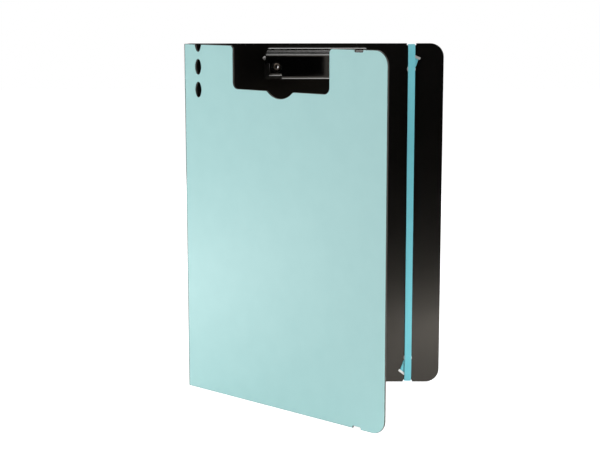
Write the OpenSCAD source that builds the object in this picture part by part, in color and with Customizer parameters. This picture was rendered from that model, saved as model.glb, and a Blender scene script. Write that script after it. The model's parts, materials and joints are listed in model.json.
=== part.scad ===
// Fold-over document clipboard: two boards joined by a narrow spine, a low lever clip on the
// rear board, and a flat elastic near the free edges, whose ends pass through two eyelets in the
// rear board and are closed with metal tips.
// Millimetres, +Z up. The origin is the middle of the rear board's bottom edge, at half thickness.
// The rear board lies along X with its inner face towards -Y, and the front board swings about Z.

/* [Boards] */
// Height of the boards, along the creases
board_h = 320; // [290:1:360]
// Width of each cover, from its crease to its free edge
cover_w = 232; // [220:1:260]
// Distance between the two creases
spine_w = 12; // [8:0.5:20]
// Thickness of the dark foamed core
core_t = 1.5; // [1.2:0.1:2]
// Thickness of the coloured film on the outside
film_t = 0.3; // [0.2:0.05:0.4]
// How far the film stays back from every cut edge
film_inset = 0.3; // [0.2:0.05:0.6]
// Radius of the free corners
corner_r = 12.5; // [5:0.5:20]
// Angle between the two covers as they stand
rest_open = 41; // [0:1:180]

/* [Creases] */
// Radius of the bead that a crease turns on
bead_r = 0.45; // [0.35:0.05:0.6]
// Gap between the bead and the groove round it
bead_gap = 0.08; // [0.05:0.01:0.1]
// Slope of the flanks beside a crease, from the board's middle plane
flank_angle = 42; // [35:1:43]

/* [Front cut-out] */
// Width of the cut-out that the clip looks through
window_w = 110.5; // [106:0.5:130]
// Depth of the cut-out, from the top edge
window_d = 37.8; // [35:0.1:50]
// Radius of the cut-out's lower corners
window_low_r = 5.5; // [3:0.5:10]
// Radius of the board's corners at the top of the cut-out
window_top_r = 3.5; // [2:0.5:6]
// Width of the thumb notch under the cut-out
thumb_w = 30; // [20:1:40]
// Depth of the thumb notch, below the cut-out
thumb_d = 6.4; // [4:0.1:9]
// Radius that eases the thumb notch into the cut-out
thumb_ease_r = 3; // [1:0.5:5]

/* [Oval holes] */
// Width of each oval hole
oval_w = 7.3; // [5:0.1:10]
// Height of each oval hole
oval_h = 13.5; // [11:0.1:17]
// Radius of an oval hole's round ends
oval_end_r = 2.4; // [1.8:0.1:2.45]
// Distance from the crease to the middle of the holes
oval_in = 17.6; // [14:0.1:24]
// Distance from one hole to the next
oval_pitch = 20.4; // [18:0.1:24]
// How far the middle of the topmost, open hole lies above the top edge
oval_over = 0.3; // [0:0.1:2]

/* [Elastic] */
// Width of the elastic
band_w = 7; // [5:0.5:9]
// Thickness of the elastic
band_t = 0.9; // [0.7:0.1:1.1]
// Distance from the covers' free edges to the middle of the elastic
band_in = 29.6; // [24:0.1:40]
// Width of the notches that the elastic runs through
notch_w = 8.7; // [7.5:0.1:11]
// Depth of the notches
notch_d = 2; // [1.8:0.1:3]
// Radius of the notches' inner corners
notch_r = 1.2; // [0.5:0.1:1.6]
// Gap between the elastic and the floor of a notch
notch_gap = 0.15; // [0.1:0.05:0.3]
// How far the elastic stands off the inner face between the eyelets
band_lift = 2.9; // [2.7:0.1:4]
// Radius of the elastic's middle line where it turns over an edge
wrap_r = 1; // [0.9:0.05:1.2]
// Length over which the elastic comes down to an edge
band_ramp = 6; // [5:0.1:8]

/* [Eyelets and tips] */
// Distance from the top and bottom edges to the eyelets
eyelet_in = 23.5; // [20:0.1:32]
// Radius of an eyelet's hole
eyelet_bore_r = 2.2; // [2:0.1:2.6]
// Wall of an eyelet's barrel
eyelet_wall = 0.4; // [0.3:0.05:0.5]
// Radius over an eyelet's rolled rim
eyelet_rim_r = 4; // [3.6:0.1:4.6]
// Height of an eyelet's rolled rim over the board
eyelet_rim_h = 0.4; // [0.3:0.05:0.4]
// Radius of the elastic where it is gathered in an eyelet
gather_r = 1.7; // [1.4:0.1:1.9]
// Width of the elastic's tail, beyond the eyelet
tail_w = 6.8; // [5.5:0.1:7]
// Thickness of the tail's end, squeezed inside its tip
tail_end_t = 0.4; // [0.3:0.05:0.5]
// Distance from the top eyelet to the middle of its tip
tail_top_l = 12; // [11:0.1:13]
// Distance from the bottom eyelet to the middle of its tip
tail_bottom_l = 15.2; // [11:0.1:16]
// Lean of the top tail away from the elastic
tail_top_lean = 18; // [14:1:30]
// Lean of the bottom tail away from the elastic
tail_bottom_lean = 18; // [14:1:30]
// Length of a metal tip, across its tail
tip_w = 9.5; // [8.5:0.1:11]
// Width of a metal tip, along its tail
tip_l = 2.3; // [2:0.1:3]
// Wall of a metal tip
tip_wall = 0.3; // [0.2:0.05:0.4]
// Tilt of the top tip from square to its tail
tip_top_tilt = 8; // [0:1:14]
// Tilt of the bottom tip from square to its tail
tip_bottom_tilt = 20; // [0:1:22]

/* [Clip] */
// Distance from the top edge down to the clip's pivot
pivot_drop = 13.3; // [13:0.1:16]
// Height of the pivot over the inner face
pivot_h = 5.2; // [5:0.1:5.6]
// Radius of the pivot rod
rod_r = 1.25; // [1.1:0.05:1.35]
// Radius of the rod's rounded heads
rod_head_r = 1.9; // [1.7:0.05:2.1]
// Running gap round the rod
rod_gap = 0.06; // [0.03:0.01:0.09]
// Thickness of the clip's base plate
base_t = 0.8; // [0.6:0.05:1]
// Width of the base plate over its ears
base_w = 90.8; // [88:0.1:91]
// Height of the base plate, from its lower to its upper edge
base_h = 22.4; // [21:0.1:22.8]
// Distance from the top edge down to the base plate's upper edge
base_drop = 7.6; // [7.2:0.1:8]
// Radius of the ears round the rod
ear_r = 3; // [2.6:0.05:3.1]
// Thickness of the lever's sheet
sheet_t = 0.9; // [0.8:0.05:1]
// Height of the lever's flat top, over the inner face
lever_h = 9.3; // [9.2:0.1:10]
// Width over the lever's cheeks
cheek_w = 93.8; // [93:0.1:96]
// Radius of the cheeks round the rod
cheek_r = 3.5; // [3:0.1:3.9]
// Width of the grip along its rolled rim
grip_w = 88; // [80:0.5:90]
// Width of the lever's flat top
top_w = 84.6; // [84.4:0.1:86]
// Width of the jaw along its toe
jaw_w = 96.5; // [95:0.1:100]
// Width of the raised middle of the jaw
jaw_mid_w = 64.6; // [50:0.1:70]
// Gap between the closed jaw and the inner face
jaw_gap = 0.3; // [0.2:0.05:0.5]
// Slope of the jaw wall from the board
jaw_slope = 60; // [50:1:68]
// How much further down the flat top reaches in the middle of the jaw
jaw_mid_reach = 2.8; // [2:0.1:3.2]
// Slope of the jaw wall in its middle
jaw_mid_slope = 80; // [74:1:84]
// Slope of the grip from the board
grip_slope = 45; // [35:1:50]
// Straight length of the grip between its bend and its rolled rim
grip_run = 4.4; // [3:0.1:6]
// Radius of the rolled rim's middle line
rim_r = 1.3; // [1:0.1:1.5]

/* [Rivets] */
// Distance from the sides of the lever's flat top in to the rivets
rivet_inset = 5.3; // [5.3:0.1:12]
// Distance from the top edge down to the rivets
rivet_drop = 21.3; // [20:0.1:23]
// Radius of a rivet's shank
rivet_r = 2.4; // [2:0.1:2.6]
// Radius of the hole through a rivet
rivet_bore_r = 1.5; // [1:0.1:1.7]
// Radius of a rivet's flat head
rivet_head_r = 4.6; // [4:0.1:6]
// Thickness of a rivet's flat head
rivet_head_t = 0.7; // [0.5:0.05:1]
// Radius of a rivet's rolled collar
rivet_collar_r = 3.1; // [2.9:0.1:3.4]
// Height of a rivet's rolled collar
rivet_collar_h = 0.7; // [0.5:0.05:0.9]
// Gap round a shank in its hole
shank_gap = 0.05; // [0.03:0.01:0.1]
// Radius of the lever's holes over the rivets
access_r = 5; // [4.4:0.1:5.1]

/* [Spring] */
// Thickness of the spring's wire
wire_d = 1; // [0.8:0.05:1.05]
// Radius of the coils, at the middle of the wire
coil_r = 2.2; // [2.1:0.05:2.25]
// Step from one turn to the next
coil_pitch = 1.5; // [1.46:0.02:1.8]
// Whole turns in each of the two coils
coil_turns = 5; // [3:1:6]
// Distance from the clip's middle to the inner end of each coil
coil_start = 12; // [8:0.5:16]

/* [Hidden] */
$fn = 48;

// Colours, as the object shows them
core_colour = [0.05, 0.05, 0.055];
film_colour = [0.66, 0.86, 0.85];
band_colour = [0.36, 0.78, 0.80];
chrome_colour = [0.78, 0.79, 0.80];
steel_colour = [0.62, 0.63, 0.64];
brass_colour = [0.72, 0.58, 0.36];

board_t = core_t + film_t;
inner_y = -board_t / 2;
film_y = board_t / 2 - film_t;
crease_angle = 90 + rest_open / 2;
band_a = cover_w - band_in;
overcut = 1;
arc_steps = 8;

// Clip heights, measured up from the bottom edge
pivot_z = board_h - pivot_drop;
rivet_z = board_h - rivet_drop;
rivet_x = top_w / 2 - rivet_inset;
base_top_z = board_h - base_drop;
sheet_mid_h = lever_h - sheet_t / 2;

// How far the lever's flat top and its cheeks reach from the pivot
top_below = 13.5;
top_above = 1.8;
shoulder_below = 4.7;

// Bends of the lever's sheet: radii of the middle line, turns and runs
jaw_bend_r = 2.5;
toe_r = 1.2;
toe_curl = 185;
grip_bend_r = 3;
rim_turn = 215;
wing_lap = 2;
wing_bend_r = 1.6;
wing_slope = 52;
wing_run = 7.2;
bend_step = 15;

// ---- Placing the three panels ----

// The rear cover's crease: a runs along +X from it, and the outside is +Y
module at_rear() {
    translate([-cover_w / 2, 0, 0]) children();
}

// The spine: a runs from the rear crease to the front crease, and the outside is mirrored to -Y
module at_spine() {
    at_rear() rotate(-crease_angle) mirror([0, 1, 0]) children();
}

// The front cover: a runs from its crease to its free edge
module at_front() {
    at_rear()
        translate(spine_w * [cos(crease_angle), -sin(crease_angle), 0])
            rotate(-rest_open) mirror([0, 1, 0]) children();
}

// Turns a flat outline, drawn as across and up, into a slab from y0 to y1
module slab(y0, y1) {
    translate([0, y1, 0]) rotate([90, 0, 0]) linear_extrude(y1 - y0) children();
}

// ---- Outlines of the boards; grow is how far the film stays back from the edge ----

// What is cut off a square corner to round it: the corner is at the origin, the plate beyond it
module corner_waste(r) {
    difference() {
        translate([-overcut, -overcut]) square(r + overcut);
        translate([r, r]) circle(r);
    }
}

module blank(grow) {
    far = cover_w - grow;
    r = corner_r - grow;
    difference() {
        translate([0, grow]) square([far, board_h - 2 * grow]);
        translate([far, grow]) mirror([1, 0]) corner_waste(r);
        translate([far, board_h - grow]) rotate(180) corner_waste(r);
    }
}

// A notch with rounded inner corners, open downwards at the bottom edge
module notch(grow) {
    w = notch_w + 2 * grow;
    d = notch_d + grow;
    translate([-w / 2, -overcut]) square([w, d - notch_r + overcut]);
    translate([-w / 2 + notch_r, -overcut]) square([w - 2 * notch_r, d + overcut]);
    for (side = [-1, 1]) {
        translate([side * (w / 2 - notch_r), d - notch_r]) circle(notch_r);
    }
}

module band_notches(grow) {
    translate([band_a, 0]) notch(grow);
    translate([band_a, board_h]) mirror([0, 1]) notch(grow);
}

// Points along an arc, without its last one
function arc(mid, r, from, to, steps) = [
    for (i = [0 : steps - 1])
        let (a = from + (to - from) * i / steps)
        mid + r * [cos(a), sin(a)]
];

// An oval of four arcs: two round ends, and two flatter sides that meet them smoothly
module oval(w, h, end_r) {
    a = w / 2;
    end_z = h / 2 - end_r;
    side_r = (a * a + end_z * end_z - end_r * end_r) / (2 * (a - end_r));
    meet = atan2(end_z, side_r - a);
    polygon(concat(
        arc([a - side_r, 0], side_r, -meet, meet, arc_steps),
        arc([0, end_z], end_r, meet, 180 - meet, arc_steps),
        arc([side_r - a, 0], side_r, 180 - meet, 180 + meet, arc_steps),
        arc([0, -end_z], end_r, 180 + meet, 360 - meet, arc_steps)
    ));
}

module oval_row(grow) {
    for (i = [0 : 2]) {
        translate([oval_in, board_h + oval_over - i * oval_pitch])
            oval(oval_w + 2 * grow, oval_h + 2 * grow, oval_end_r + grow);
    }
}

// The thumb notch: an arc below the line z = 0, eased into that line on both sides
module thumb_notch(grow) {
    r = (thumb_w * thumb_w / 4 + thumb_d * thumb_d) / (2 * thumb_d);
    mid_z = r - thumb_d;
    ease_x = sqrt(pow(r + thumb_ease_r, 2) - pow(mid_z + thumb_ease_r, 2));
    meet = atan2(mid_z + thumb_ease_r, ease_x);
    ease_r = thumb_ease_r - grow;
    polygon(concat(
        [[ease_x, overcut]],
        arc([ease_x, -thumb_ease_r], ease_r, 90, 180 - meet, arc_steps),
        arc([0, mid_z], r + grow, -meet, meet - 180, 3 * arc_steps),
        arc([-ease_x, -thumb_ease_r], ease_r, meet, 90, arc_steps),
        [[-ease_x, -grow], [-ease_x, overcut]]
    ));
}

// The cut-out at the top of the front cover
module window(grow) {
    w = window_w + 2 * grow;
    d = window_d + grow;
    low_r = window_low_r + grow;
    top_r = window_top_r - grow;
    translate([cover_w / 2, board_h]) {
        translate([-w / 2, low_r - d]) square([w, d - low_r + overcut]);
        translate([low_r - w / 2, -d]) square([w - 2 * low_r, d + overcut]);
        for (side = [-1, 1]) {
            translate([side * (w / 2 - low_r), low_r - d]) circle(low_r);
        }
        for (side = [0, 1]) {
            mirror([side, 0]) translate([w / 2, -grow]) mirror([0, 1]) corner_waste(top_r);
        }
        translate([0, -window_d]) thumb_notch(grow);
    }
}

// ---- Sections across the boards: wedges that meet at a crease's axis ----

flank = 1 / tan(flank_angle);

module cover_core_section() {
    difference() {
        polygon([
            [0, 0], [-inner_y * flank, inner_y], [cover_w + overcut, inner_y],
            [cover_w + overcut, film_y], [film_y * flank, film_y]
        ]);
        circle(bead_r + bead_gap);
    }
}

module cover_film_section() {
    polygon([
        [film_y * flank, film_y], [cover_w + overcut, film_y],
        [cover_w + overcut, -inner_y], [-inner_y * flank, -inner_y]
    ]);
}

module spine_core_section() {
    polygon([
        [0, 0], [-inner_y * flank, inner_y], [spine_w + inner_y * flank, inner_y],
        [spine_w, 0], [spine_w - film_y * flank, film_y], [film_y * flank, film_y]
    ]);
    for (a = [0, spine_w]) {
        translate([a, 0]) circle(bead_r);
    }
}

module spine_film_section() {
    polygon([
        [film_y * flank, film_y], [spine_w - film_y * flank, film_y],
        [spine_w + inner_y * flank, -inner_y], [-inner_y * flank, -inner_y]
    ]);
}

// ---- The boards and their film ----

module shank_hole(a, z, r) {
    translate([a, 0, z]) rotate([90, 0, 0]) cylinder(r = r, h = 4 * board_t, center = true);
}

module rear_holes() {
    for (z = [eyelet_in, board_h - eyelet_in]) {
        shank_hole(band_a, z, eyelet_bore_r + eyelet_wall + shank_gap);
    }
    for (side = [-1, 1]) {
        shank_hole(cover_w / 2 + side * rivet_x, rivet_z, rivet_r + shank_gap);
    }
}

module rear_outline(grow) {
    difference() {
        blank(grow);
        band_notches(grow);
    }
}

module front_outline(grow) {
    difference() {
        blank(grow);
        band_notches(grow);
        window(grow);
        oval_row(grow);
    }
}

module rear_board() {
    color(core_colour) at_rear() difference() {
        intersection() {
            slab(inner_y, film_y) rear_outline(0);
            linear_extrude(board_h) cover_core_section();
        }
        rear_holes();
    }
}

module rear_film() {
    color(film_colour) at_rear() difference() {
        intersection() {
            slab(film_y, -inner_y) rear_outline(film_inset);
            linear_extrude(board_h) cover_film_section();
        }
        rear_holes();
    }
}

module spine_board() {
    color(core_colour) at_spine() linear_extrude(board_h) spine_core_section();
}

module spine_film() {
    color(film_colour) at_spine() translate([0, 0, film_inset])
        linear_extrude(board_h - 2 * film_inset) spine_film_section();
}

module front_board() {
    color(core_colour) at_front() intersection() {
        slab(inner_y, film_y) front_outline(0);
        linear_extrude(board_h) cover_core_section();
    }
}

module front_film() {
    color(film_colour) at_front() intersection() {
        slab(film_y, -inner_y) front_outline(film_inset);
        linear_extrude(board_h) cover_film_section();
    }
}

// ---- Bent strips: a profile is drawn as height above the bottom edge and height off the board ----

// Walks along legs of [straight run, bend radius, turn], and lists each [point, heading]
function bend(from, heading, r, turn, done) =
    let (side = sign(turn), n = ceil(abs(turn) / bend_step), now = heading + turn * done / n)
    done > n ? [] : concat(
        [[from + side * r * [sin(now) - sin(heading), cos(heading) - cos(now)], now]],
        bend(from, heading, r, turn, done + 1));

function walk(legs, from, heading, i = 0) =
    i == len(legs) ? [[from, heading]] :
    let (
        corner = from + legs[i][0] * [cos(heading), sin(heading)],
        arc = legs[i][2] == 0 ? [[corner, heading]] : bend(corner, heading, legs[i][1], legs[i][2], 0),
        end = arc[len(arc) - 1]
    )
    concat([[from, heading]], arc, walk(legs, end[0], end[1], i + 1));

// Leaves out points that repeat the one before
function distinct(path) = [
    for (i = [0 : len(path) - 1])
        if (i == 0 || norm(path[i][0] - path[max(i - 1, 0)][0]) > 0.001) path[i]
];

function side_line(path, off) = [for (p = path) p[0] + off * [-sin(p[1]), cos(p[1])]];

function backwards(list) = [for (i = [len(list) - 1 : -1 : 0]) list[i]];

function strip(path, t) = concat(side_line(path, t / 2), backwards(side_line(path, -t / 2)));

// Runs a profile along X, centred, with its first axis up and its second off the inner face
module along_x(w) {
    translate([0, inner_y, 0]) rotate(180, [1, 0, 1]) linear_extrude(w, center = true) children();
}

// Turns a shape made about +Z into one about the outward normal of the inner face
module off_board(x, z) {
    translate([x, inner_y, z]) rotate([90, 0, 0]) children();
}

// ---- The clip ----

// How much wider an ear is at its foot, to each side
ear_flare = 1;

module clip_base_plate() {
    ear_x = base_w / 2 - base_t / 2;
    ear_foot = ear_r + ear_flare;
    color(steel_colour) difference() {
        union() {
            translate([-base_w / 2, inner_y - base_t, base_top_z - base_h])
                cube([base_w, base_t, base_h]);
            for (side = [-1, 1]) {
                translate([side * ear_x, 0, 0]) along_x(base_t) {
                    translate([pivot_z, pivot_h]) circle(ear_r);
                    polygon([
                        [pivot_z - ear_foot, 0], [pivot_z + ear_foot, 0],
                        [pivot_z + ear_r, pivot_h], [pivot_z - ear_r, pivot_h]
                    ]);
                }
            }
        }
        along_x(base_w + 2 * overcut) translate([pivot_z, pivot_h]) circle(rod_r + rod_gap);
        for (side = [-1, 1]) {
            off_board(side * rivet_x, rivet_z)
                cylinder(r = rivet_r + shank_gap, h = 4 * base_t, center = true);
        }
    }
}

module clip_rivet(side) {
    tail_h = base_t + rivet_collar_h;
    roll_r = (rivet_collar_r - rivet_bore_r) / 2;
    color(brass_colour) off_board(side * rivet_x, rivet_z) rotate_extrude() {
        difference() {
            polygon([
                [rivet_bore_r, -board_t - rivet_head_t],
                [rivet_head_r - rivet_head_t / 2, -board_t - rivet_head_t],
                [rivet_head_r, -board_t - rivet_head_t / 2], [rivet_head_r, -board_t],
                [rivet_r, -board_t], [rivet_r, base_t], [rivet_collar_r, base_t],
                [rivet_collar_r, tail_h], [rivet_bore_r, tail_h]
            ]);
            // Rounds the collar off as a roll
            difference() {
                translate([rivet_bore_r, base_t]) square([2 * roll_r + overcut, tail_h]);
                translate([rivet_bore_r + roll_r, tail_h - roll_r]) circle(roll_r);
                translate([rivet_bore_r, 0]) square([rivet_r - rivet_bore_r, tail_h - roll_r]);
            }
        }
    }
}

module clip_pivot_rod() {
    head_x = cheek_w / 2 + shank_gap;
    color(steel_colour) translate([0, inner_y - pivot_h, pivot_z]) rotate([0, 90, 0]) {
        cylinder(r = rod_r, h = 2 * head_x + rod_head_r, center = true);
        for (side = [-1, 1]) {
            scale([1, 1, side]) intersection() {
                translate([0, 0, head_x + rod_head_r / 2]) sphere(rod_head_r);
                translate([0, 0, head_x]) cylinder(r = rod_head_r + overcut, h = 2 * rod_head_r);
            }
        }
    }
}

// The lever's side profile, from the curled toe of the jaw up to the rolled rim of the grip
jaw_drop = sheet_mid_h - jaw_gap - sheet_t / 2;
lever_up = walk(
    [[top_above, grip_bend_r, grip_slope], [grip_run, rim_r, -rim_turn]],
    [pivot_z, sheet_mid_h], 0);
lever_path = profile(top_below, jaw_slope);
mid_path = profile(top_below + jaw_mid_reach, jaw_mid_slope);

function profile(reach, slope) =
    let (
        run = (jaw_drop - jaw_bend_r * (1 - cos(slope)) - toe_r * (1 + cos(slope))) / sin(slope),
        down = walk(
            [[reach, jaw_bend_r, slope], [run, toe_r, toe_curl - slope]],
            [pivot_z, sheet_mid_h], 180)
    )
    distinct(concat(backwards([for (p = down) [p[0], p[1] - 180]]), lever_up));

// The jaw bends down from the flat top at bend_z, and the cheeks are above shoulder_z
bend_z = pivot_z - top_below;
shoulder_z = pivot_z - shoulder_below;
rim_above = top_above + grip_bend_r * sin(grip_slope) + grip_run * cos(grip_slope)
    + rim_r * (1 + sin(grip_slope)) + sheet_t / 2;

module lever_sheet(w, path = lever_path) {
    along_x(w) polygon(strip(path, sheet_t));
}

// The step from the jaw's ends to its raised middle, above the curl of their toes
step_top = bend_z - jaw_bend_r * sin(bend_step) / 2;
step_foot = jaw_gap + sheet_t / 2 + toe_r;

function step_side(path, off) =
    [for (p = side_line(path, off)) if (p[0] < step_top && p[1] > step_foot) p];

module jaw_step() {
    along_x(sheet_t) polygon(concat(
        step_side(mid_path, sheet_t / 2),
        [[bend_z, lever_h], [bend_z, lever_h - sheet_t]],
        backwards(step_side(lever_path, -sheet_t / 2))
    ));
}

// A block over the whole lever's width and height off the board, from one height to another
module level(z0, z1) {
    translate([-jaw_w, -2 * lever_h, z0]) cube([2 * jaw_w, 2 * lever_h, z1 - z0]);
}

// All that lies under the lever's outer skin, below the shoulders
module under_skin() {
    skin = side_line(lever_path, sheet_t / 2);
    along_x(2 * jaw_w) polygon(concat(
        [for (p = skin) if (p[0] < shoulder_z) p],
        [[shoulder_z, lever_h], [shoulder_z, jaw_gap]]
    ));
}

// The side walls slope from the flat top down to the ends of the toe
wing_path = distinct(walk(
    [[wing_lap, wing_bend_r, -wing_slope], [wing_run, 0, 0]],
    [top_w / 2 - wing_lap, sheet_mid_h], 0));

// Draws a shape given as across and height off the inner face, and runs it up
module run_up(z0, z1) {
    translate([0, inner_y, z0]) linear_extrude(z1 - z0) mirror([0, 1]) children();
}

module under_wings() {
    skin = side_line(wing_path, sheet_t / 2);
    right = concat(skin, [[skin[len(skin) - 1][0] + overcut, -overcut]]);
    run_up(pivot_z - 3 * top_below, pivot_z)
        polygon(concat(right, backwards([for (p = right) [-p[0], p[1]]])));
}

// The lever's outline from the front, above the shoulders: its sides draw in towards the rim
module shoulders() {
    side_drop = (cheek_w - grip_w) / 2;
    side_r = (side_drop * side_drop + rim_above * rim_above) / (2 * side_drop);
    translate([-cheek_w / 2, shoulder_z]) square([cheek_w, shoulder_below]);
    translate([side_r - cheek_w / 2, shoulder_z])
        square([cheek_w - 2 * side_r, shoulder_below + rim_above]);
    intersection() {
        translate([-cheek_w / 2, shoulder_z]) square([cheek_w, shoulder_below + rim_above]);
        for (side = [-1, 1]) {
            translate([side * (cheek_w / 2 - side_r), pivot_z]) circle(side_r, $fn = 2 * $fn);
        }
    }
}

module shoulder_block() {
    slab(-2 * lever_h, 0) shoulders();
}

// A cheek's side profile, without its hole
module cheek_profile() {
    translate([pivot_z, pivot_h]) circle(cheek_r);
    polygon([
        [shoulder_z, sheet_mid_h], [pivot_z - cheek_r, pivot_h], [pivot_z + cheek_r, pivot_h],
        [pivot_z + cheek_r, sheet_mid_h + sheet_t / 2], [pivot_z + top_above, sheet_mid_h]
    ]);
}

module lever_shell() {
    // The flat top, the grip and its rolled rim
    intersection() {
        lever_sheet(top_w);
        level(bend_z, pivot_z);
    }
    intersection() {
        lever_sheet(cheek_w);
        shoulder_block();
    }
    // The ends of the jaw and their toe, drawn in under the side walls
    difference() {
        intersection() {
            lever_sheet(jaw_w);
            level(0, bend_z + sheet_t);
            under_wings();
        }
        slab(-2 * lever_h, 0) translate([sheet_t - jaw_mid_w / 2, 0])
            square([jaw_mid_w - 2 * sheet_t, bend_z]);
    }
    // The raised middle of the jaw, and the steps down to its ends
    intersection() {
        lever_sheet(jaw_mid_w, mid_path);
        level(0, bend_z + sheet_t);
    }
    for (side = [-1, 1]) {
        translate([side * (jaw_mid_w - sheet_t) / 2, 0, 0]) jaw_step();
    }
    for (side = [0, 1]) {
        mirror([side, 0, 0]) {
            intersection() {
                run_up(pivot_z - 3 * top_below, shoulder_z) polygon(strip(wing_path, sheet_t));
                under_skin();
            }
            intersection() {
                translate([cheek_w / 2 - sheet_t / 2, 0, 0]) along_x(sheet_t) cheek_profile();
                shoulder_block();
            }
        }
    }
}

module clip_lever() {
    color(chrome_colour) difference() {
        lever_shell();
        along_x(2 * jaw_w) translate([pivot_z, pivot_h]) circle(rod_r + rod_gap);
        for (side = [-1, 1]) {
            off_board(side * rivet_x, rivet_z)
                translate([0, 0, pivot_h]) cylinder(r = access_r, h = lever_h);
        }
    }
}

// ---- The spring: two coils round the rod, joined by a bridge under the grip ----

coil_steps = 8;
wire_sides = 6;
half_turns = coil_turns + 0.5;
coil_end = coil_start + half_turns * coil_pitch;

// The bridge: its place along the grip's straight run, its corners, and its gap under the grip
bridge_run = 1.4;
bridge_r = 1.3;
bridge_gap = 0.12;
bridge_off = sheet_t / 2 + wire_d / 2 + bridge_gap;

// Where the wire enters a coil, and where it leaves it for the leg: how far up and off the coil
lead_up = 2.4;
lead_off = 0.2;
leg_up = 2;
leg_off = 0.4;

// How far the leg's end stays below the base plate's upper edge, and its gap over the plate
leg_short = 1;
leg_gap = 0.08;

// A point under the grip, a given way along its straight run
function under_grip(run) =
    let (foot = [pivot_z + top_above + grip_bend_r * sin(grip_slope),
                 sheet_mid_h + grip_bend_r * (1 - cos(grip_slope))])
    foot + run * [cos(grip_slope), sin(grip_slope)] + bridge_off * [sin(grip_slope), -cos(grip_slope)];

function in_space(x, p) = [x, inner_y - p[1], p[0]];

// Half of the wire's middle line, from the bridge's middle to the leg on the base plate
spring_half = concat(
    [in_space(0, under_grip(bridge_run))],
    [for (a = [90, 45, 0])
        in_space(coil_start - bridge_r * (1 - cos(a)), under_grip(bridge_run - bridge_r * (1 - sin(a))))],
    [in_space(coil_start, [pivot_z + lead_up, pivot_h + coil_r + lead_off])],
    [for (i = [0 : half_turns * coil_steps])
        let (a = 90 + 360 * i / coil_steps)
        in_space(coil_start + i * coil_pitch / coil_steps,
            [pivot_z + coil_r * cos(a), pivot_h + coil_r * sin(a)])],
    [
        in_space(coil_end, [pivot_z + leg_up, pivot_h - coil_r - leg_off]),
        in_space(coil_end, [base_top_z - leg_short, base_t + wire_d / 2 + leg_gap])
    ]);
spring_line = concat(
    backwards([for (p = spring_half) [-p[0], p[1], p[2]]]),
    [for (i = [1 : len(spring_half) - 1]) spring_half[i]]);

function unit(v) = v / norm(v);

function tangents(line) = [
    for (i = [0 : len(line) - 1])
        unit(line[min(i + 1, len(line) - 1)] - line[max(i - 1, 0)])
];

// Carries one normal along the line, so that the rings don't twist
function carried(ways, normal, i = 0) =
    i == len(ways) ? [] :
    let (now = unit(normal - (normal * ways[i]) * ways[i]))
    concat([now], carried(ways, now, i + 1));

module tube(line, r, sides) {
    ways = tangents(line);
    normals = carried(ways, [1, 0, 0]);
    rings = [
        for (i = [0 : len(line) - 1], k = [0 : sides - 1])
            let (a = 360 * k / sides)
            line[i] + r * (cos(a) * normals[i] + sin(a) * cross(ways[i], normals[i]))
    ];
    last = (len(line) - 1) * sides;
    polyhedron(rings, concat(
        [[for (k = [sides - 1 : -1 : 0]) k]],
        [[for (k = [0 : sides - 1]) last + k]],
        [for (i = [0 : len(line) - 2], k = [0 : sides - 1])
            [i * sides + k, i * sides + (k + 1) % sides, (i + 1) * sides + k]],
        [for (i = [0 : len(line) - 2], k = [0 : sides - 1])
            [i * sides + (k + 1) % sides, (i + 1) * sides + (k + 1) % sides, (i + 1) * sides + k]]
    ));
}

// Least gap from the wire to itself, between points that are most of a turn apart or more
spring_gap = min([
    for (i = [0 : len(spring_line) - 1], k = [i + coil_steps - 2 : len(spring_line) - 1])
        norm(spring_line[i] - spring_line[min(k, len(spring_line) - 1)])
]) - wire_d;

module clip_spring() {
    color(steel_colour) tube(spring_line, wire_d / 2, wire_sides);
}

// ---- The elastic, its eyelets and its tips ----

// Half of the elastic's route, from mid height over the top edge to the top eyelet
crest_z = board_h - notch_d + notch_gap + band_t / 2;
// The turn over the edge begins this far off the inner face, and the outer run passes the eyelet
inner_turn_h = -0.1;
run_past = 1;
ramp_angle = atan((band_lift - inner_turn_h - wrap_r) / band_ramp);
ramp_top_z = crest_z - wrap_r * (1 - sin(ramp_angle));
outer_turn_h = -board_t - inner_turn_h;
outer_run = crest_z - wrap_r - (board_h - eyelet_in) + gather_r + run_past;
band_half = walk(
    [
        [ramp_top_z - band_ramp - board_h / 2, 0, 0],
        [0, wrap_r, -ramp_angle],
        [band_ramp / cos(ramp_angle), wrap_r, ramp_angle - 90],
        [inner_turn_h - outer_turn_h, wrap_r, -90],
        [outer_run, 0, 0]
    ],
    [board_h / 2, band_lift], 0);
band_route = distinct(concat(
    backwards([for (p = band_half) [[board_h - p[0][0], p[0][1]], -p[1]]]), band_half));

// The tail lies over the eyelet's rim, and spreads to its full width in a short flare
tail_gap = 0.1;
tail_flare = 3;
tail_h = eyelet_rim_h + tail_gap;

// The tip's play round the tail's end, its closed edge, its room there, and its rounding
tip_play = 0.06;
tip_closed = 0.5;
tip_room = 0.2;
tip_round = 0.05;
tip_t = tail_end_t + 2 * (tip_wall + tip_play);
slot_l = tip_l - tip_closed;

// Stands at an eyelet with +Y along the tail: end is 1 at the top and -1 at the bottom
module at_tail(end) {
    lean = end > 0 ? tail_top_lean : tail_bottom_lean;
    eyelet_z = end > 0 ? board_h - eyelet_in : eyelet_in;
    translate([band_a - cover_w / 2, inner_y, eyelet_z])
        rotate([0, end > 0 ? 0 : 180, 0]) rotate([0, lean, 0])
            rotate([90, 0, 0]) children();
}

function tail_length(end) = end > 0 ? tail_top_l : tail_bottom_l;
function tip_tilt(end) = end > 0 ? tip_top_tilt : tip_bottom_tilt;

// Stands at the foot of a tip, in its middle, with +Y across it
module at_tip(end) {
    at_tail(end) translate([0, tail_length(end), 0]) rotate([0, 0, -tip_tilt(end)])
        translate([0, -tip_l / 2, 0]) children();
}

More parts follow.
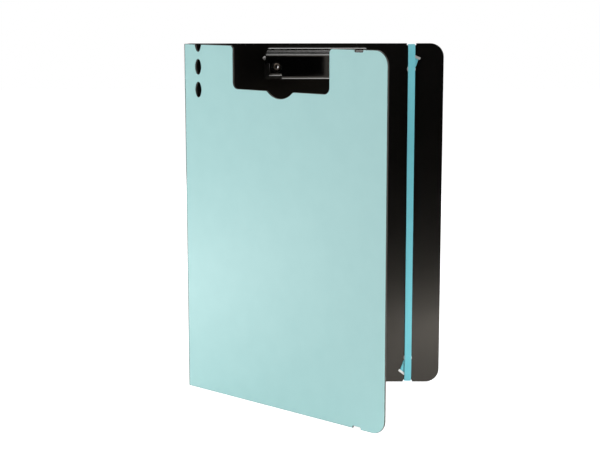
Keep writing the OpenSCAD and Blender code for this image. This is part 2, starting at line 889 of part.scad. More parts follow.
// A point beside the foot of a tip, in the frame of its tail
function at_foot(end, x, y) =
    let (a = tip_tilt(end), up = y - tip_l / 2)
    [x * cos(a) + up * sin(a), tail_length(end) + up * cos(a) - x * sin(a)];

module elastic_tail(end) {
    at_tail(end) {
        translate([0, 0, -outer_reach()])
            cylinder(r = gather_r, h = outer_reach() + tail_h + band_t);
        translate([0, 0, tail_h]) linear_extrude(band_t)
            polygon([
                [-gather_r, 0], [gather_r, 0], [tail_w / 2, tail_flare],
                at_foot(end, tail_w / 2, -tail_gap), at_foot(end, -tail_w / 2, -tail_gap),
                [-tail_w / 2, tail_flare]
            ]);
    }
    at_tip(end) translate([-tail_w / 2, -tail_gap - overcut, tail_h])
        cube([tail_w, tail_gap + overcut + slot_l - tip_room, tail_end_t]);
}

// How far behind the inner face the elastic's outer run lies
function outer_reach() = -(outer_turn_h - wrap_r);

module elastic_band() {
    color(band_colour) {
        translate([band_a - cover_w / 2, 0, 0])
            along_x(band_w) polygon(strip(band_route, band_t));
        for (end = [-1, 1]) {
            elastic_tail(end);
        }
    }
}

module eyelet(end) {
    barrel_r = eyelet_bore_r + eyelet_wall;
    roll_mid = (eyelet_bore_r + eyelet_rim_r) / 2;
    roll_half = (eyelet_rim_r - eyelet_bore_r) / 2;
    eyelet_z = end > 0 ? board_h - eyelet_in : eyelet_in;
    roll = [for (a = [0 : bend_step : 180]) [roll_mid + roll_half * cos(a), eyelet_rim_h * sin(a)]];
    color(chrome_colour) off_board(band_a - cover_w / 2, eyelet_z) rotate_extrude() {
        polygon(concat(
            roll,
            backwards([for (p = roll) [p[0], -board_t - p[1]]]),
            [[barrel_r, -board_t], [barrel_r, 0]]
        ));
    }
}

module band_tip(end) {
    slot_w = tail_w + 2 * tip_play;
    color(chrome_colour) at_tip(end) difference() {
        translate([0, tip_l / 2, tail_h + tail_end_t / 2]) intersection() {
            cube([tip_w, tip_l, tip_t], center = true);
            rotate([0, 90, 0])
                cylinder(r = norm([tip_l, tip_t]) / 2 - tip_round, h = tip_w, center = true);
        }
        translate([-slot_w / 2, -overcut, tail_h - tip_play])
            cube([slot_w, overcut + slot_l, tail_end_t + 2 * tip_play]);
    }
}

echo(str("Least gap of the spring to itself, mm: ", spring_gap));

rear_board();
rear_film();
spine_board();
spine_film();
front_board();
front_film();
clip_base_plate();
clip_rivet(-1);  // clip_rivet_left
clip_rivet(1);  // clip_rivet_right
clip_pivot_rod();
clip_spring();
clip_lever();
elastic_band();
eyelet(1);  // eyelet_top
eyelet(-1);  // eyelet_bottom
band_tip(1);  // band_tip_top
band_tip(-1);  // band_tip_bottom
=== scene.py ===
"""Looks of a fold-over clipboard, built round its packed frame.

The boards, their film and the small metal parts come from the frame. This script finishes every
surface, weaves the elastic, winds the clip's spring, lays film into the creases, and sets a
plain studio round the part. Metres, +Z up; the rear board lies along X and looks towards -Y.
"""

import json
import math
from contextlib import contextmanager

import bmesh
import bpy
import numpy as np
from bpy.props import FloatProperty, FloatVectorProperty, IntProperty, PointerProperty
from mathutils import Matrix, Vector


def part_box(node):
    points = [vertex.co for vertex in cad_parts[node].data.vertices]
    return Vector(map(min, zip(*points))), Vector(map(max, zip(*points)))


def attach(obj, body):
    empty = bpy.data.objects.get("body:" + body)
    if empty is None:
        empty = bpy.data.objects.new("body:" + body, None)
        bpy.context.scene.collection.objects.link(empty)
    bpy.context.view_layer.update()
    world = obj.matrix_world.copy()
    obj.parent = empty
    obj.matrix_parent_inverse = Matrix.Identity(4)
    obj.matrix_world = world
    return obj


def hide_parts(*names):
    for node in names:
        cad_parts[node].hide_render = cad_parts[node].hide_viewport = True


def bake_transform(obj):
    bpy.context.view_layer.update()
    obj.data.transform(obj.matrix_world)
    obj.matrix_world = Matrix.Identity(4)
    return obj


bl_info = {
    "name": "Fold-over Clipboard",
    "version": (1, 0, 0),
    "blender": (4, 5, 0),
    "location": "3D View > Sidebar > Clipboard",
    "description": "Finishes a fold-over clipboard round its frame",
    "category": "Object",
}

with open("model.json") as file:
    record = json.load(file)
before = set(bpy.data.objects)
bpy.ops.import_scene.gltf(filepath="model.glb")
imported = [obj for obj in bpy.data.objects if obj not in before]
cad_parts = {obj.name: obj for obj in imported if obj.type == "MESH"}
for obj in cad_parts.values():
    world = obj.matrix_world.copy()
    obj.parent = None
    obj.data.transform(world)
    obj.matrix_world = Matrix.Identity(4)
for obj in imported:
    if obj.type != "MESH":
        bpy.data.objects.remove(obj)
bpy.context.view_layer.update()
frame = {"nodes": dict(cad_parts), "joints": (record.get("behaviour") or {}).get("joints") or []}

# ---- Places that the frame gives ----

JOINTS = {joint["name"]: joint for joint in frame["joints"]}
REAR_AXIS = Vector(JOINTS["rear_crease"]["pos_m"])
FRONT_AXIS = Vector(JOINTS["front_crease"]["pos_m"])
PIVOT = Vector(JOINTS["clip_hinge"]["pos_m"])
BOARD_LOW, BOARD_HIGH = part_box("rear_board")
FILM_LOW, FILM_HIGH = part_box("rear_film")
INNER_Y = BOARD_LOW.y
BOARD_T = FILM_HIGH.y - INNER_Y
HEIGHT = BOARD_HIGH.z
SPINE_WAY = (FRONT_AXIS - REAR_AXIS).normalized()
SPINE_TURN = math.atan2(SPINE_WAY.y, SPINE_WAY.x)
EYELET_X = sum(corner.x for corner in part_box("eyelet_top")) / 2
EYELET_UP = sum(corner.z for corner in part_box("eyelet_top")) / 2


# ---- Settings ----

def length(name, description, default):
    """A length in metres, shown in the scene's unit."""
    return FloatProperty(
        name=name, description=description, default=default, unit="LENGTH", precision=5)


def angle(name, description, degrees):
    """An angle, given in degrees and kept in radians."""
    return FloatProperty(
        name=name, description=description, default=math.radians(degrees), subtype="ANGLE")


def amount(name, description, default):
    """A plain number from nought up."""
    return FloatProperty(name=name, description=description, default=default, min=0)


def colour(name, description, default):
    """A linear colour."""
    return FloatVectorProperty(
        name=name, description=description, default=default, subtype="COLOR", min=0, max=1)


def place(name, description, default):
    """A point in metres."""
    return FloatVectorProperty(
        name=name, description=description, default=default, subtype="TRANSLATION")


class CLIPBOARD_PG_boards(bpy.types.PropertyGroup):
    """The boards' film and core"""
    film: colour("Film", "Mint film on the outside", (0.372, 0.628, 0.622))
    film_deep: colour("Film, deep", "The film's darker mottling", (0.358, 0.612, 0.608))
    film_grain: length("Film grain", "Size of the grain pressed into the film", 0.00045)
    core: colour("Core", "Black foamed core", (0.0012, 0.0012, 0.0012))
    core_light: colour("Core, light", "Lighter specks of the core's grain", (0.004, 0.0038, 0.0035))
    core_grain: length("Core grain", "Size of the grain on the inner faces", 0.0006)


class CLIPBOARD_PG_creases(bpy.types.PropertyGroup):
    """The film that lies in the two creases"""
    flank: angle("Flank", "Slope of a board's edge beside the crease", 42)
    floor_r: length("Floor radius", "Radius of the crease's floor round its axis", 0.00056)
    reach: length("Reach", "How far the film climbs the flanks, from the axis", 0.00127)
    thickness: length("Thickness", "Thickness of the pressed film", 0.00003)
    lift: length("Lift", "Gap between the film and the flank under it", 0.00001)
    steps: IntProperty(name="Steps", description="Faces round the floor", default=14, min=4)


class CLIPBOARD_PG_elastic(bpy.types.PropertyGroup):
    """The flat elastic and its two tails"""
    width: length("Width", "Width of the woven elastic", 0.0065)
    thickness: length("Thickness", "Thickness of the woven elastic", 0.0009)
    lift: length("Lift", "Height of the inner run over the inner face", 0.0029)
    ramp: length("Ramp", "Length over which it comes down to an edge", 0.006)
    crest: length("Crest", "How far its middle lies below the boards' edge", 0.0014)
    sink: length("Sink", "How far under the inner face a turn over the edge begins", 0.0001)
    wrap_r: length("Turn radius", "Radius of a turn over an edge", 0.001)
    hole_r: length("Hole turn", "Radius of a turn into and out of an eyelet", 0.0016)
    bunch_w: length("Bunched width", "Width inside an eyelet", 0.0034)
    bunch_t: length("Bunched thickness", "Thickness inside an eyelet", 0.0024)
    gather: length("Gather", "Length over which it is gathered before an eyelet", 0.005)
    tail_off: length("Tail height", "Height of a tail's middle over the inner face", 0.00095)
    tail_end: length("Tail end", "How far a tail goes past its tip's middle", 0.0003)
    end_off: length("Tail end height", "Height of a tail's squeezed end", 0.0007)
    end_t: length("Tail end thickness", "Thickness of a tail inside its tip", 0.0004)
    top_tail: length("Top tail", "From the top eyelet to the middle of its tip", 0.012)
    bottom_tail: length("Bottom tail", "From the bottom eyelet to its tip's middle", 0.0152)
    lean: angle("Lean", "Lean of both tails from upright", 18)
    top_tilt: angle("Top tilt", "Further lean of the top tail's end", 8)
    bottom_tilt: angle("Bottom tilt", "Further lean of the bottom tail's end", 20)
    ribs: IntProperty(name="Ribs", description="Lengthwise ribs", default=7, min=1)
    rib_h: length("Rib height", "Height of a rib", 0.00006)
    thread: colour("Thread", "Turquoise covering thread", (0.19, 0.60, 0.66))
    thread_deep: colour("Thread, deep", "Thread between the ribs", (0.12, 0.52, 0.61))


class CLIPBOARD_PG_clip(bpy.types.PropertyGroup):
    """The clip's metal, its spring, and the elastic's fittings"""
    chrome: colour("Chrome", "Polished plate of the lever", (0.5, 0.5, 0.49))
    nickel: colour("Nickel", "Plate of the base plate", (0.60, 0.59, 0.57))
    satin: colour("Satin nickel", "Dull plate of the rod, eyelets and tips", (0.78, 0.77, 0.75))
    brass: colour("Brass", "Worn plate of the hollow rivets", (0.50, 0.41, 0.33))
    wire: colour("Wire", "Spring wire", (0.42, 0.42, 0.43))
    lever_r: length("Lever rounding", "Rounding of the lever's edges", 0.000216)
    edge_r: length("Edge rounding", "Rounding of the base plate's and the rod's edges", 0.00012)
    rivet_r: length("Rivet rounding", "Rounding of the rivets' edges", 0.00006)
    ring_r: length("Eyelet rounding", "Rounding of the elastic's eyelets", 0.00036)
    tip_r: length("Tip rounding", "Rounding of the elastic's metal tips", 0.00036)
    wire_r: length("Wire radius", "Radius of the spring's wire", 0.0005)
    coil_r: length("Coil radius", "Radius of a coil, at the wire's middle", 0.0022)
    coil_pitch: length("Coil pitch", "Step from turn to turn", 0.0015)
    coil_start: length("Coil start", "From the clip's middle to a coil's inner end", 0.012)
    coil_turns: amount("Turns", "Turns in each coil", 5.5)


class CLIPBOARD_PG_studio(bpy.types.PropertyGroup):
    """Camera, lamps and stage"""
    eye: place("Camera", "Where the camera stands", (-0.01566, -1.258, 0.3646))
    pitch: angle("Pitch", "How far the camera looks down", 9.642)
    roll: angle("Roll", "Turn of the picture", 0.048)
    lens: amount("Lens", "Focal length in millimetres on a 36 mm sensor", 81.8)
    floor: colour("Floor", "Colour of the floor", (0.86, 0.86, 0.855))
    floor_glow: amount("Floor glow", "Light added to what is seen of the floor", 0.8)
    world: amount("World", "Strength of the room's own light", 0.3)
    key: amount("Key", "Power of the soft lamp at the left, in watts", 7.4)
    top: amount("Top", "Power of the soft lamp overhead, in watts", 4)
    fill: amount("Fill", "Power of the low lamp at the right, in watts", 4)
    back: amount("Back", "Power of the soft lamp behind the part, in watts", 9)
    low_left: amount("Low left", "Power of the small lamp low at the left, in watts", 0.44)
    low_right: amount("Low right", "Power of the small lamp low between the covers, in watts", 0.28)


# ---- Small helpers ----

def only(piece):
    """Makes one object the only selected and the active one."""
    bpy.ops.object.select_all(action="DESELECT")
    piece.select_set(True)
    bpy.context.view_layer.objects.active = piece


@contextmanager
def editing(piece):
    """Edit mode on one object, with nothing selected at first."""
    only(piece)
    bpy.ops.object.mode_set(mode="EDIT")
    bpy.ops.mesh.select_all(action="DESELECT")
    yield
    bpy.ops.object.mode_set(mode="OBJECT")


def pick(piece, test):
    """Selects the vertices whose place passes a test, and the edges and faces between them."""
    shape = bmesh.from_edit_mesh(piece.data)
    for vertex in shape.verts:
        vertex.select = test(vertex.co)
    shape.select_flush(True)
    bmesh.update_edit_mesh(piece.data)


def named(name):
    """The active object, renamed with its mesh."""
    piece = bpy.context.object
    piece.name = name
    piece.data.name = name
    return piece


def settled(piece, matrix=None):
    """Puts an object's place into its mesh, so that the object sits at the origin."""
    if matrix is not None:
        piece.matrix_world = matrix
    only(piece)
    bpy.ops.object.transform_apply(location=True, rotation=True, scale=True)
    return piece


def applied(piece, kind, **values):
    """Adds a modifier, sets it and applies it."""
    modifier = piece.modifiers.new(kind.title(), kind)
    for key, value in values.items():
        setattr(modifier, key, value)
    only(piece)
    bpy.ops.object.modifier_apply(modifier=modifier.name)


def smooth(piece, degrees=35):
    """Smooth shading, apart from edges sharper than an angle."""
    only(piece)
    bpy.ops.object.shade_smooth_by_angle(angle=math.radians(degrees))


def dress(piece, finish):
    """Gives a piece one finish all over."""
    piece.data.materials.clear()
    piece.data.materials.append(finish)


def places(mesh):
    """A mesh's vertices, as rows of three numbers."""
    co = np.empty(len(mesh.vertices) * 3)
    mesh.vertices.foreach_get("co", co)
    return co.reshape(-1, 3)


def smoothed_copy(node, name, edge_r, body, finish, slot, worn=False):
    """A frame piece with its triangles merged, its edges rounded and its bends made smooth.

    The edges of a worn piece are tumbled round all over.
    """
    mesh = frame["nodes"][node].data.copy()
    piece = bpy.data.objects.new(name, mesh)
    mesh.name = name
    bpy.context.scene.collection.objects.link(piece)
    with editing(piece):
        bpy.ops.mesh.select_all(action="SELECT")
        bpy.ops.mesh.remove_doubles(threshold=1e-6)
        bpy.ops.mesh.dissolve_limited(angle_limit=math.radians(0.4))
    if worn:
        applied(piece, "REMESH", mode="VOXEL", voxel_size=edge_r / 3)
        applied(piece, "SMOOTH", factor=0.6, iterations=8)
        smooth(piece, 60)
    else:
        applied(
            piece, "BEVEL", width=edge_r, segments=2, limit_method="ANGLE",
            angle_limit=math.radians(30), use_clamp_overlap=True)
        smooth(piece)
        applied(piece, "WEIGHTED_NORMAL", keep_sharp=True, weight=70)
    dress(piece, finish)
    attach(piece, body)
    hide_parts(node)
    return piece


# ---- Finishes ----

class Nodes:
    """Adds nodes to a tree and links them by name."""

    def __init__(self, tree):
        self.tree = tree

    def add(self, kind, inputs=None, **values):
        """A node with its settings and its inputs, which are numbers or other nodes' outputs."""
        node = self.tree.nodes.new(kind)
        for key, value in values.items():
            setattr(node, key, value)
        for key, value in (inputs or {}).items():
            self.feed(node.inputs[key], value)
        return node

    def feed(self, socket, value):
        """Sets a socket, or links it to an output."""
        if isinstance(value, bpy.types.NodeSocket):
            self.tree.links.new(value, socket)
        else:
            socket.default_value = value

    def combine(self, operation, first, second):
        """Two numbers made into one."""
        node = self.add("ShaderNodeMath", {0: first, 1: second}, operation=operation)
        return node.outputs[0]

    def seen(self):
        """1 where a surface is seen, mirrored or shows through, and 0 where it only gives light."""
        ray = self.add("ShaderNodeLightPath").outputs
        mirrored = self.combine("MAXIMUM", ray["Is Camera Ray"], ray["Is Glossy Ray"])
        return self.combine("MAXIMUM", mirrored, ray["Is Transmission Ray"])


class Finish(Nodes):
    """A material under construction."""

    def __init__(self, name):
        self.material = bpy.data.materials.get(name) or bpy.data.materials.new(name)
        self.material.use_nodes = True
        super().__init__(self.material.node_tree)
        self.shader = self.tree.nodes["Principled BSDF"]

    def set(self, **values):
        """Sets or links the shader's own sockets."""
        for key, value in values.items():
            self.feed(self.shader.inputs[key.replace("_", " ")], value)

    def coordinates(self, output="Object"):
        """The piece's own coordinates."""
        return self.add("ShaderNodeTexCoord").outputs[output]

    def noise(self, at, size, detail=2.0, roughness=0.5):
        """Noise whose lumps have a size in metres."""
        node = self.add(
            "ShaderNodeTexNoise",
            {"Vector": at, "Scale": 1 / size, "Detail": detail, "Roughness": roughness})
        return node.outputs["Fac"]

    def bands(self, at, direction, inputs):
        """Soft bands across one direction."""
        node = self.add(
            "ShaderNodeTexWave", {"Vector": at, **inputs},
            wave_type="BANDS", bands_direction=direction)
        return node.outputs["Fac"]

    def ramp(self, factor, low, high, start=0.35, end=0.65):
        """A colour between two, by a factor."""
        node = self.add("ShaderNodeValToRGB", {"Fac": factor})
        for element, at, tint in zip(node.color_ramp.elements, (start, end), (low, high)):
            element.position = at
            element.color = (*tint, 1)
        return node.outputs["Color"]

    def span(self, factor, low, high):
        """A number between two, by a factor from 0 to 1."""
        node = self.add("ShaderNodeMapRange", {"Value": factor, "To Min": low, "To Max": high})
        return node.outputs["Result"]

    def bump(self, height, depth, strength=1.0, base=None):
        """A bump of a depth in metres."""
        inputs = {"Height": height, "Distance": depth, "Strength": strength}
        if base is not None:
            inputs["Normal"] = base
        return self.add("ShaderNodeBump", inputs).outputs["Normal"]


def film_finish(boards):
    """Satin polypropylene film: pale mottling under a very fine pressed grain."""
    finish = Finish("Mint film")
    at = finish.coordinates()
    mottle = finish.noise(at, size=0.018, detail=3)
    grain = finish.noise(at, size=boards.film_grain, detail=3, roughness=0.6)
    finish.set(
        Base_Color=finish.ramp(mottle, boards.film_deep, boards.film, start=0.3, end=0.7),
        Roughness=finish.span(grain, low=0.40, high=0.52),
        Specular_IOR_Level=0.6,
        Normal=finish.bump(grain, depth=0.00002, strength=0.45))
    return finish.material


def core_finish(boards):
    """Black foamed polypropylene: a fine leathery grain with lighter specks."""
    finish = Finish("Black core")
    at = finish.coordinates()
    grain = finish.noise(at, size=boards.core_grain, detail=4, roughness=0.65)
    cloud = finish.noise(at, size=0.009)
    pebble = finish.add(
        "ShaderNodeTexVoronoi", {"Vector": at, "Scale": 1 / boards.core_grain},
        feature="SMOOTH_F1")
    relief = finish.bump(pebble.outputs["Distance"], depth=0.00002, strength=0.5)
    finish.set(
        Base_Color=finish.ramp(grain, boards.core, boards.core_light, start=0.45, end=0.75),
        Roughness=finish.span(cloud, low=0.28, high=0.34),
        Specular_IOR_Level=0.8,
        Specular_Tint=(1.0, 0.91, 0.8, 1),
        Normal=finish.bump(grain, depth=0.00002, strength=0.5, base=relief))
    return finish.material


def metal_finish(name, tint, rough, metallic=1.0):
    """Plated metal: its roughness between two values, with faint smears and a slight ripple."""
    finish = Finish(name)
    at = finish.coordinates()
    smear = finish.noise(at, size=0.012, detail=4, roughness=0.6)
    ripple = finish.noise(at, size=0.006, detail=1)
    smeared = [0.94 * level for level in tint]
    finish.set(
        Base_Color=finish.ramp(smear, smeared, tint),
        Roughness=finish.span(smear, *rough),
        Metallic=metallic,
        Normal=finish.bump(ripple, depth=0.0000015))
    return finish.material


def elastic_finish(elastic):
    """Woven elastic: lengthwise bands of covering thread, crossed by fine stitches."""
    finish = Finish("Woven elastic")
    uv = finish.coordinates("UV")
    threads = finish.bands(uv, "Y", {"Scale": elastic.ribs / 2})
    stitches = finish.bands(
        uv, "X", {"Scale": 150.0, "Distortion": 1.2, "Detail": 1.0, "Detail Scale": 2.0})
    fuzz = finish.noise(finish.coordinates(), size=0.0003, detail=3)
    weave = finish.combine("MULTIPLY", threads, stitches)
    mixed = finish.combine("ADD", weave, fuzz)
    finish.set(
        Base_Color=finish.ramp(mixed, elastic.thread_deep, elastic.thread, start=0.4, end=1.0),
        Roughness=0.5,
        Specular_IOR_Level=0.9,
        Sheen_Weight=0.35,
        Sheen_Roughness=0.4,
        Normal=finish.bump(mixed, depth=0.00012, strength=0.6))
    return finish.material


def paper_finish(studio):
    """White paper: takes the part's shadow, and shows as white wherever it is seen."""
    finish = Finish("White paper")
    glow = finish.combine("MULTIPLY", finish.seen(), studio.floor_glow)
    finish.set(
        Base_Color=(*studio.floor, 1), Roughness=1.0, Specular_IOR_Level=0.0,
        Emission_Color=(1, 1, 1, 1), Emission_Strength=glow)
    return finish.material


def painted_reflection_finish(name, glow):
    """Black, for a sheet that paints dark reflections; where it glows a little, it paints a grey
    reflection.
    """
    finish = Finish(name)
    finish.set(
        Base_Color=(0.002, 0.002, 0.002, 1), Roughness=1.0, Specular_IOR_Level=0.0,
        Emission_Color=(1, 1, 1, 1), Emission_Strength=glow)
    return finish.material


# ---- Operators ----

class CLIPBOARD_OT_camera(bpy.types.Operator):
    """Adds the camera"""
    bl_idname = "clipboard.camera"
    bl_label = "Camera"
    bl_options = {"REGISTER", "UNDO"}

    def execute(self, context):
        studio = context.scene.clipboard_studio
        turn = (math.pi / 2 - studio.pitch, studio.roll, 0)
        bpy.ops.object.camera_add(location=studio.eye, rotation=turn)
        camera = context.object
        camera.name = "Camera"
        camera.data.sensor_width = 36
        camera.data.lens = studio.lens
        camera.data.clip_start = 0.05
        camera.data.clip_end = 50
        context.scene.camera = camera
        return {"FINISHED"}


class CLIPBOARD_OT_boards(bpy.types.Operator):
    """Finishes the three boards and their film"""
    bl_idname = "clipboard.boards"
    bl_label = "Boards and film"
    bl_options = {"REGISTER", "UNDO"}

    def execute(self, context):
        boards = context.scene.clipboard_boards
        film = film_finish(boards)
        core = core_finish(boards)
        for part in ("rear", "spine", "front"):
            dress(frame["nodes"][part + "_film"], film)
            dress(frame["nodes"][part + "_board"], core)
        return {"FINISHED"}


class CLIPBOARD_OT_creases(bpy.types.Operator):
    """Lays film into the outside of both creases"""
    bl_idname = "clipboard.creases"
    bl_label = "Film in the creases"
    bl_options = {"REGISTER", "UNDO"}

    def execute(self, context):
        finish = film_finish(context.scene.clipboard_boards)
        back = SPINE_TURN + math.pi
        self.lay("crease_film_rear", REAR_AXIS, 0, ("rear_cover", "spine"), finish)
        self.lay("crease_film_front", FRONT_AXIS, back, ("spine", "front_cover"), finish)
        return {"FINISHED"}

    def lay(self, name, axis, first, bodies, finish):
        """One crease: first is the way from its axis into the first of its two boards.

        A plane on one flank is spun round the axis, and then drawn up the other flank.
        """
        creases = bpy.context.scene.clipboard_creases
        up = Vector((0, 0, 1))
        start = first + creases.flank
        sweep = 2 * math.pi + SPINE_TURN - 2 * creases.flank
        ways = [Vector((math.cos(a), math.sin(a), 0)) for a in (start, start + sweep)]
        foot = Vector((axis.x, axis.y, 0))
        run = creases.reach - creases.floor_r
        tall = FILM_HIGH.z - FILM_LOW.z
        lift = up.cross(ways[0]) * (creases.lift + creases.thickness / 2)
        middle = foot + ways[0] * (creases.floor_r + run / 2) + up * (FILM_LOW.z + tall / 2)
        flank = Matrix((ways[0], up, ways[0].cross(up))).transposed().to_4x4()
        bpy.ops.mesh.primitive_plane_add(size=1)
        skin = named(name)
        settled(
            skin, Matrix.Translation(middle + lift) @ flank @ Matrix.Diagonal((run, tall, 1, 1)))
        near = creases.floor_r + run / 4
        with editing(skin):
            pick(skin, lambda co: (co.xy - foot.xy).length < near)
            bpy.ops.mesh.spin(steps=creases.steps, angle=sweep, center=foot, axis=(0, 0, 1))
            bpy.ops.mesh.extrude_region_move(TRANSFORM_OT_translate={"value": ways[1] * run})
            bpy.ops.mesh.select_all(action="SELECT")
            bpy.ops.mesh.remove_doubles(threshold=1e-7)
            bpy.ops.mesh.normals_make_consistent(inside=False)
        applied(skin, "SOLIDIFY", thickness=creases.thickness, offset=0)
        smooth(skin, 50)
        dress(skin, finish)
        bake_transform(skin)


def flat_route(start, heading, legs):
    """Points of a route in a plane: each leg runs straight on, then turns round a radius."""
    step = math.radians(9)
    points = [Vector(start)]
    for run, radius, turn in legs:
        if run:
            points.append(points[-1] + run * Vector((math.cos(heading), math.sin(heading))))
        side = math.copysign(1, turn)
        centre = points[-1] + side * radius * Vector((-math.sin(heading), math.cos(heading)))
        count = math.ceil(abs(turn) / step)
        for i in range(1, count + 1):
            now = heading + turn * i / count
            points.append(centre + side * radius * Vector((math.sin(now), -math.cos(now))))
        heading += turn
    return points


# Finer sizes of the elastic. Lengths are in metres.

ROW = 0.003  # a row of faces, where the elastic runs straight
FINE_RUN = 0.020  # how far its finer rows go past the tails
FINE_CUTS = 14  # cuts in each of those rows
TURN_STEPS = 10  # points round its turn out of an eyelet, and along a tail's bend
BEND_RUN = 0.0025  # a tail's bend before its tip
END_RUN = 0.001  # from there to the middle of the tip
NECK_BEFORE = 0.0022  # a tail begins to bunch so far before its eyelet's rim
NECK_AFTER = 0.0008  # and is fully bunched so far past it
PRESSED_RUN = 0.0014  # a tail's end, pressed flat in its tip
EASED_RUN = 0.0034  # where it is back to its own thickness
SELVEDGE_THIN = 0.55  # share of the thickness that is lost at a selvedge
SELVEDGE_POWER = 8  # how suddenly it is lost there
PLEATS = 5  # half waves across the bunched elastic
PLEAT_H = 0.0003  # their height
PLEAT_FROM = 1.02  # they show where it is thicker than this, as a share of its thickness


class CLIPBOARD_OT_elastic(bpy.types.Operator):
    """Weaves the flat elastic, from tail to tail"""
    bl_idname = "clipboard.elastic"
    bl_label = "Elastic"
    bl_options = {"REGISTER", "UNDO"}

    def execute(self, context):
        elastic = context.scene.clipboard_elastic
        bottom = self.half(elastic, -1, elastic.bottom_tail, elastic.bottom_tilt)
        top = self.half(elastic, 1, elastic.top_tail, elastic.top_tilt)
        route = bottom[:0:-1] + top
        steps = [0.0]
        for (a, _), (b, _) in zip(route, route[1:]):
            steps.append(steps[-1] + (b - a).length)
        strap = self.strap(elastic, steps[-1])
        self.gather(elastic, strap, steps[-1])
        self.follow(strap, route, steps)
        with editing(strap):
            bpy.ops.mesh.select_all(action="SELECT")
            bpy.ops.mesh.normals_make_consistent(inside=False)
        smooth(strap, 60)
        dress(strap, elastic_finish(elastic))
        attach(strap, "rear_cover")
        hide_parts("elastic_band")
        return {"FINISHED"}

    def half(self, elastic, side, tail, tilt):
        """The route from mid height over one edge, through its eyelet and along its tail."""
        crest = HEIGHT - elastic.crest
        slope = math.atan((elastic.lift + elastic.sink - elastic.wrap_r) / elastic.ramp)
        ramp_top = crest - elastic.wrap_r * (1 - math.sin(slope))
        across = BOARD_T - 2 * elastic.sink
        outer = -BOARD_T + elastic.sink - elastic.wrap_r
        down = crest - elastic.wrap_r - EYELET_UP - elastic.hole_r
        through = elastic.tail_off - outer - 2 * elastic.hole_r
        quarter = math.pi / 2
        flat = flat_route((HEIGHT / 2, elastic.lift), 0, [
            (ramp_top - elastic.ramp - HEIGHT / 2, elastic.wrap_r, -slope),
            (elastic.ramp / math.cos(slope), elastic.wrap_r, slope - quarter),
            (across, elastic.wrap_r, -quarter),
            (down, elastic.hole_r, -quarter),
            (through, 0, 0),
        ])
        right = Vector((1, 0, 0))
        out = Vector((0, -1, 0))
        points = [
            (Vector((EYELET_X, INNER_Y - off, HEIGHT / 2 + side * (up - HEIGHT / 2))), right)
            for up, off in flat]
        start = points[-1][0]
        way, level = self.aim(elastic.lean, side)
        for i in range(1, TURN_STEPS + 1):
            turn = quarter * i / TURN_STEPS
            swing = math.sin(turn) * out + (1 - math.cos(turn)) * way
            points.append((start + elastic.hole_r * swing, right.lerp(level, i / TURN_STEPS)))
        straight = tail - elastic.hole_r - BEND_RUN - END_RUN
        points.append((points[-1][0] + way * straight, level))
        fall = (elastic.end_off - elastic.tail_off) / TURN_STEPS * out
        for i in range(1, TURN_STEPS + 1):
            way, level = self.aim(elastic.lean + tilt * i / TURN_STEPS, side)
            points.append((points[-1][0] + way * BEND_RUN / TURN_STEPS + fall, level))
        points.append((points[-1][0] + way * (END_RUN + elastic.tail_end), level))
        return points

    def aim(self, lean, side):
        """The way along a leaning tail, and the way across it."""
        way = Vector((math.sin(lean), 0, math.cos(lean))) * side
        return way, Vector((math.cos(lean), 0, -math.sin(lean)))

    def strap(self, elastic, total):
        """A straight ribbed strap along X, with finer rows where it will bend."""
        rows = round(total / ROW)
        across = 4 * elastic.ribs
        bpy.ops.mesh.primitive_grid_add(
            x_subdivisions=rows, y_subdivisions=across, size=1, calc_uvs=True)
        strap = named("elastic_strap")
        middle = Matrix.Translation((total / 2, 0, 0))
        settled(strap, middle @ Matrix.Diagonal((total, elastic.width, 1, 1)))
        fine = (elastic.top_tail + elastic.bottom_tail) / 2 + FINE_RUN
        with editing(strap):
            shape = bmesh.from_edit_mesh(strap.data)
            for edge in shape.edges:
                a, b = (vertex.co for vertex in edge.verts)
                end = min(a.x, b.x, total - a.x, total - b.x)
                edge.select = abs(a.x - b.x) > ROW / 2 and end < fine
            bmesh.update_edit_mesh(strap.data)
            bpy.ops.mesh.subdivide(number_cuts=FINE_CUTS)
        applied(strap, "SOLIDIFY", thickness=elastic.thickness, offset=0)
        return strap

    def gather(self, elastic, strap, total):
        """Raises the ribs, thins the selvedges, and bunches the strap where it meets an eyelet."""
        co = places(strap.data)
        tails = (elastic.bottom_tail, elastic.top_tail)
        hole = math.pi * elastic.hole_r
        width = np.ones(len(co))
        thick = np.ones(len(co))
        for tail, from_end in zip(tails, (co[:, 0], total - co[:, 0])):
            rim = tail + elastic.tail_end - elastic.hole_r
            outside = rim + hole
            stops = [0, rim - NECK_BEFORE, rim + NECK_AFTER, outside, outside + elastic.gather]
            tight = np.interp(from_end, stops, [0, 0, 1, 1, 0])
            tight = tight * tight * (3 - 2 * tight)
            flat = np.interp(from_end, [PRESSED_RUN, EASED_RUN], [1, 0])
            width *= 1 + tight * (elastic.bunch_w / elastic.width - 1)
            thick *= 1 + tight * (elastic.bunch_t / elastic.thickness - 1)
            thick *= 1 + flat * (elastic.end_t / elastic.thickness - 1)
        edge = np.clip(np.abs(co[:, 1]) / (elastic.width / 2), 0, 1)
        rib = elastic.rib_h * np.cos(2 * math.pi * elastic.ribs * co[:, 1] / elastic.width)
        full = 1 - SELVEDGE_THIN * edge ** SELVEDGE_POWER
        height = (elastic.thickness / 2 - elastic.rib_h) * full + rib
        pleat = PLEAT_H * np.cos(PLEATS * math.pi * co[:, 1] / elastic.width)
        pleat = pleat * (thick > PLEAT_FROM) * (thick - 1)
        co[:, 2] = np.sign(co[:, 2]) * height * thick + pleat
        co[:, 1] *= width
        strap.data.vertices.foreach_set("co", co.ravel())

    def follow(self, strap, route, steps):
        """Bends the straight strap along a route."""
        points = np.array([point for point, _ in route])
        level = np.array([way for _, way in route])
        co = places(strap.data)
        ways = np.gradient(points, steps, axis=0)

        def along(values):
            return np.stack([np.interp(co[:, 0], steps, values[:, k]) for k in range(3)], 1)

